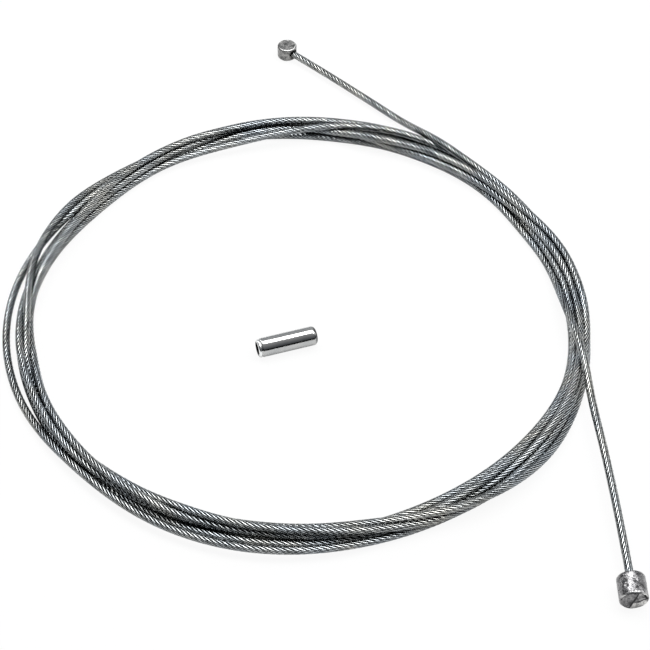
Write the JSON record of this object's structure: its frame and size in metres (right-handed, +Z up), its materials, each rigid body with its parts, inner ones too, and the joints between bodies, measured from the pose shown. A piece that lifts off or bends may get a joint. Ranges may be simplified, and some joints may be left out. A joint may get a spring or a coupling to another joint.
{
  "type": "bicycle shift cable",
  "caption": "Loose coil of thin stranded steel shift cable, with a cast barrel head on one end, a small cross head on the other and a bright crimp end cap lying loose inside the coil",
  "frame": {"origin": "middle of the base of the whole part's box, on the surface that the coil lies on", "axes": "+Z up out of the coil, +Y from the barrel head's side to the cross head's side, +X towards the side where the tail with the barrel head leaves"},
  "size_m": [0.0946, 0.12, 0.0041],
  "materials": {
    "cable": "zinc-plated stranded wire",
    "barrel_head": "smooth die-cast, slightly pitted",
    "cross_head": "dull die-cast",
    "end_cap": "bright plated"
  },
  "bodies": {
    "root": {"cable_coil": "cable", "cable_tail_near": "cable", "cable_tail_far": "cable", "barrel_head": "barrel_head", "cross_head": "cross_head", "end_cap": "end_cap"}
  },
  "joints": []
}
